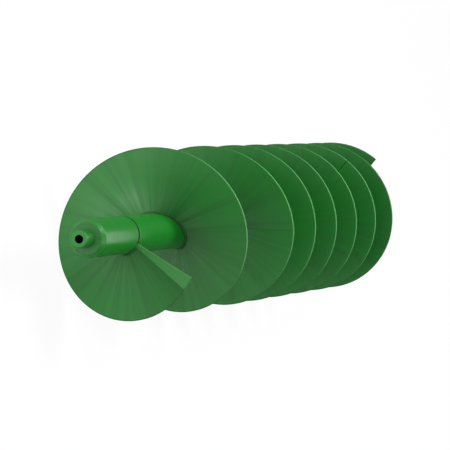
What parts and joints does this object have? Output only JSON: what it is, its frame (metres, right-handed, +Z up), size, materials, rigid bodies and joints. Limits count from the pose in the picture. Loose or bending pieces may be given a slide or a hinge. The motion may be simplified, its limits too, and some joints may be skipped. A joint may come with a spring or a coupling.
{
  "type": "screw conveyor auger",
  "caption": "Right-hand conveyor screw: a tube with a welded variable-pitch flight and a stepped shaft with a tapped centre hole at each end.",
  "frame": {"origin": "centre of the shoulder where the drive end's stub meets its journal, on the screw's axis", "axes": "+X along the screw's axis from the drive end to the tail end, +Z up as the screw lies on its flight's rim"},
  "size_m": [2.46, 0.4, 0.4],
  "materials": {
    "paint": "satin"
  },
  "bodies": {
    "root": {"centre_tube": "paint", "drive_end_shaft": "paint", "tail_end_shaft": "paint", "feed_flight": "paint", "middle_flight": "paint", "last_flight": "paint"}
  },
  "joints": []
}
